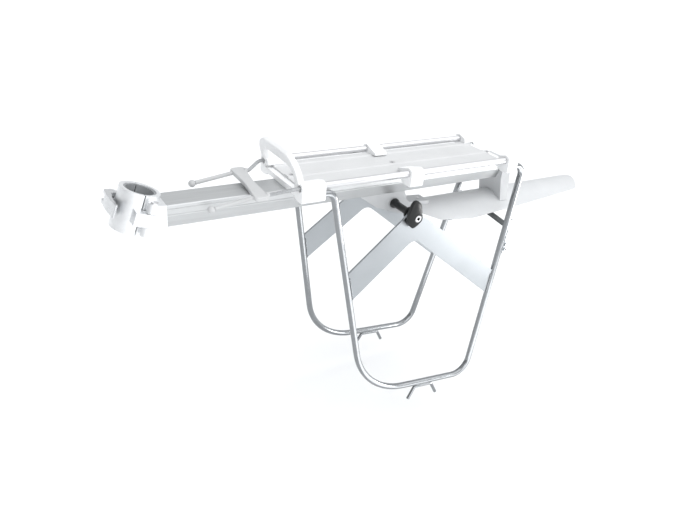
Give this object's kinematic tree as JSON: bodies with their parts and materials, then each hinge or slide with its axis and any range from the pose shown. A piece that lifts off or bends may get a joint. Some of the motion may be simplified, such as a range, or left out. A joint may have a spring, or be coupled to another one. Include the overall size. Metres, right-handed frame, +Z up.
{
  "type": "rear rack",
  "caption": "Seatpost-clamped bicycle rear rack: beam, luggage deck with rails and stop, mudguard, and removable hoop side frames clamped by hand knobs.",
  "frame": {"origin": "centre of the seatpost clamp's bore, halfway up the clamp", "axes": "+X to the bicycle's rear along the beam, +Y to the bicycle's right, +Z up; the post's axis leans back 18 degrees from +Z toward +X"},
  "size_m": [0.6587, 0.1434, 0.3574],
  "materials": {
    "clamp_metal": "pale satin anodised",
    "clamp_pad": "matt",
    "steel_hardware": "bright zinc",
    "lever_metal": "polished",
    "beam_metal": "pale satin anodised",
    "deck_plastic": "fine grain",
    "rail_metal": "satin",
    "bracket_plastic": "fine grain",
    "stop_plastic": "fine grain",
    "handle_plastic": "fine grain",
    "bungee_hook": "satin",
    "bungee_rubber": "matt",
    "guard_plastic": "satin",
    "support_plastic": "fine grain",
    "frame_tube": "satin anodised",
    "frame_plate": "satin anodised sheet",
    "strap_metal": "dark satin sheet",
    "screw_plastic": "moulded",
    "bright_screw": "polished"
  },
  "bodies": {
    "rack": {"rear_jaw": "clamp_metal", "rear_jaw_pad": "clamp_pad", "jaw_hinge_pin": "steel_hardware", "skewer": "steel_hardware", "barrel_nut": "steel_hardware", "beam": "beam_metal", "head_bolts": "steel_hardware", "deck_plate": "deck_plastic", "deck_screws": "steel_hardware", "left_rail": "rail_metal", "right_rail": "rail_metal", "front_bracket_cross": "bracket_plastic", "middle_bracket_cross": "bracket_plastic", "rear_bracket_cross": "bracket_plastic", "luggage_stop": "stop_plastic", "bungee_handle": "handle_plastic", "bungee_hooks": "bungee_hook", "bungee_cords": "bungee_rubber", "mudguard": "guard_plastic", "mudguard_screws": "steel_hardware", "rear_leg": "support_plastic", "hanger_block": "support_plastic", "hanger_screws": "steel_hardware"},
    "front_jaw": {"front_jaw": "clamp_metal", "front_jaw_pad": "clamp_pad", "cam_washer": "steel_hardware"},
    "lever": {"quick_release_lever": "lever_metal", "lever_pin": "steel_hardware"},
    "side_frames": {"tab_screws": "bright_screw", "cross_strap": "strap_metal", "left_hoop": "frame_tube", "left_brace_plate": "frame_plate", "left_lower_hook": "frame_tube", "left_reflector_tab": "frame_plate", "left_threaded_bush": "frame_tube", "right_hoop": "frame_tube", "right_brace_plate": "frame_plate", "right_lower_hook": "frame_tube", "right_reflector_tab": "frame_plate", "right_threaded_bush": "frame_tube"},
    "left_foot": {"left_clamp_foot": "screw_plastic"},
    "left_knob": {"left_knob_bolt": "bright_screw", "left_clamp_knob": "screw_plastic"},
    "right_foot": {"right_clamp_foot": "screw_plastic"},
    "right_knob": {"right_knob_bolt": "bright_screw", "right_clamp_knob": "screw_plastic"}
  },
  "joints": [
    {"name": "front_jaw_hinge", "type": "hinge", "parent": "rack", "child": "front_jaw", "pos_m": [0.00761, -0.0252, -0.00247], "axis": [0.309, 0, 0.9511], "range_deg": [0, 1.55]},
    {"name": "lever_hinge", "type": "hinge", "parent": "rack", "child": "lever", "pos_m": [-0.01759, 0.0235, 0.00572], "axis": [-0.309, 0, -0.9511], "range_deg": [0, 120]},
    {"name": "side_frames_slide", "type": "slide", "parent": "rack", "child": "side_frames", "axis": [1, 0, 0], "range_m": [0, 0.03]},
    {"name": "left_foot_slide", "type": "slide", "parent": "side_frames", "child": "left_foot", "axis": [0, -1, 0], "range_m": [0, 0.0032]},
    {"name": "left_knob_turn", "type": "hinge", "parent": "left_foot", "child": "left_knob", "pos_m": [0.3068, -0.0577, -0.0337], "axis": [0, -1, 0], "range_deg": [0, 1440]},
    {"name": "right_foot_slide", "type": "slide", "parent": "side_frames", "child": "right_foot", "axis": [0, 1, 0], "range_m": [0, 0.0032]},
    {"name": "right_knob_turn", "type": "hinge", "parent": "right_foot", "child": "right_knob", "pos_m": [0.3068, 0.0577, -0.0337], "axis": [0, 1, 0], "range_deg": [0, 1440]}
  ],
  "couplings": [
    {"joint": "front_jaw_hinge", "follows": "lever_hinge", "ratio": 0.0125},
    {"joint": "left_knob_turn", "follows": "left_foot_slide", "rad_per_m": 7854},
    {"joint": "right_knob_turn", "follows": "right_foot_slide", "rad_per_m": 7854}
  ]
}
